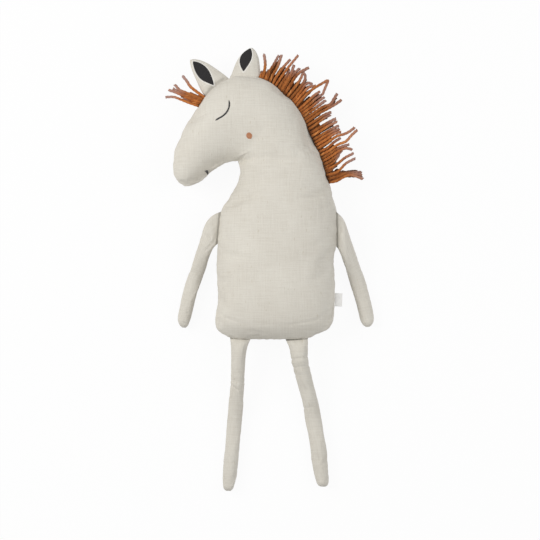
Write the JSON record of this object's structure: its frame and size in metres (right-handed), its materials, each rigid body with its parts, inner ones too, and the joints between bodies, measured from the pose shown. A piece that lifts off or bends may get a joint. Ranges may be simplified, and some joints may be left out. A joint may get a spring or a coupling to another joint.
{
  "type": "plush horse",
  "caption": "Stuffed linen horse lying on its back, with a profile head, sewn-on limbs and ears, a yarn mane and embroidered features.",
  "frame": {"origin": "middle of the flat strip along the torso's back that the toy lies on", "axes": "+Y towards the head, +Z out of the front, +X towards the nape; the nose points to -X"},
  "size_m": [0.3295, 0.7136, 0.0877],
  "materials": {
    "linen": "undyed plain-weave linen with slubs, matt",
    "fibre_filling": "loose white fibre filling, out of sight",
    "dark_lining": "dark grey felted cloth, matt",
    "rust_yarn": "rust-brown twisted wool yarn, cut ends",
    "black_thread": "black embroidery thread, slight sheen",
    "tan_thread": "tan embroidery thread, slight sheen",
    "white_ribbon": "off-white woven ribbon, blank"
  },
  "bodies": {
    "torso": {"torso_cover": "linen", "torso_filling": "fibre_filling", "head_cover": "linen", "head_filling": "fibre_filling", "mane_1": "rust_yarn", "mane_2": "rust_yarn", "mane_3": "rust_yarn", "mane_4": "rust_yarn", "mane_5": "rust_yarn", "mane_6": "rust_yarn", "forelock": "rust_yarn", "eye_stitching": "black_thread", "nostril_stitching": "black_thread", "cheek_dot": "tan_thread"},
    "left_arm": {"left_arm_sleeve": "linen", "left_arm_filling": "fibre_filling"},
    "right_arm": {"right_arm_sleeve": "linen", "right_arm_filling": "fibre_filling"},
    "left_leg": {"left_leg_sleeve": "linen", "left_leg_filling": "fibre_filling"},
    "right_leg": {"right_leg_sleeve": "linen", "right_leg_filling": "fibre_filling"},
    "left_ear": {"left_ear_shell": "linen", "left_ear_lining": "dark_lining"},
    "right_ear": {"right_ear_shell": "linen", "right_ear_lining": "dark_lining"},
    "label": {"side_label": "white_ribbon"}
  },
  "joints": [
    {"name": "left_arm_seam", "type": "hinge", "parent": "torso", "child": "left_arm", "pos_m": [-0.09446, 0.05229, 0.0435], "axis": [0.1017, 0.9948, 0], "range_deg": [-35, 75]},
    {"name": "right_arm_seam", "type": "hinge", "parent": "torso", "child": "right_arm", "pos_m": [0.09964, 0.05194, 0.0435], "axis": [-0.0177, -0.9998, 0], "range_deg": [-35, 75]},
    {"name": "left_leg_seam", "type": "hinge", "parent": "torso", "child": "left_leg", "pos_m": [-0.05765, -0.12635, 0.0435], "axis": [-0.9957, 0.0929, 0], "range_deg": [-60, 75]},
    {"name": "right_leg_seam", "type": "hinge", "parent": "torso", "child": "right_leg", "pos_m": [0.03396, -0.12632, 0.0435], "axis": [-0.9958, -0.0918, 0], "range_deg": [-60, 75]},
    {"name": "left_ear_seam", "type": "hinge", "parent": "torso", "child": "left_ear", "pos_m": [-0.0946, 0.28279, 0.0405], "axis": [0.8294, 0.5586, 0], "range_deg": [-35, 35], "stiffness_Nm_per_rad": 0.01},
    {"name": "right_ear_seam", "type": "hinge", "parent": "torso", "child": "right_ear", "pos_m": [-0.04943, 0.29755, 0.0405], "axis": [0.9999, 0.0162, 0], "range_deg": [-35, 35], "stiffness_Nm_per_rad": 0.01},
    {"name": "side_label_seam", "type": "hinge", "parent": "torso", "child": "label", "pos_m": [0.09521, -0.06027, 0.0435], "axis": [-0.0402, -0.9992, 0], "range_deg": [-60, 60], "stiffness_Nm_per_rad": 0.0005}
  ]
}
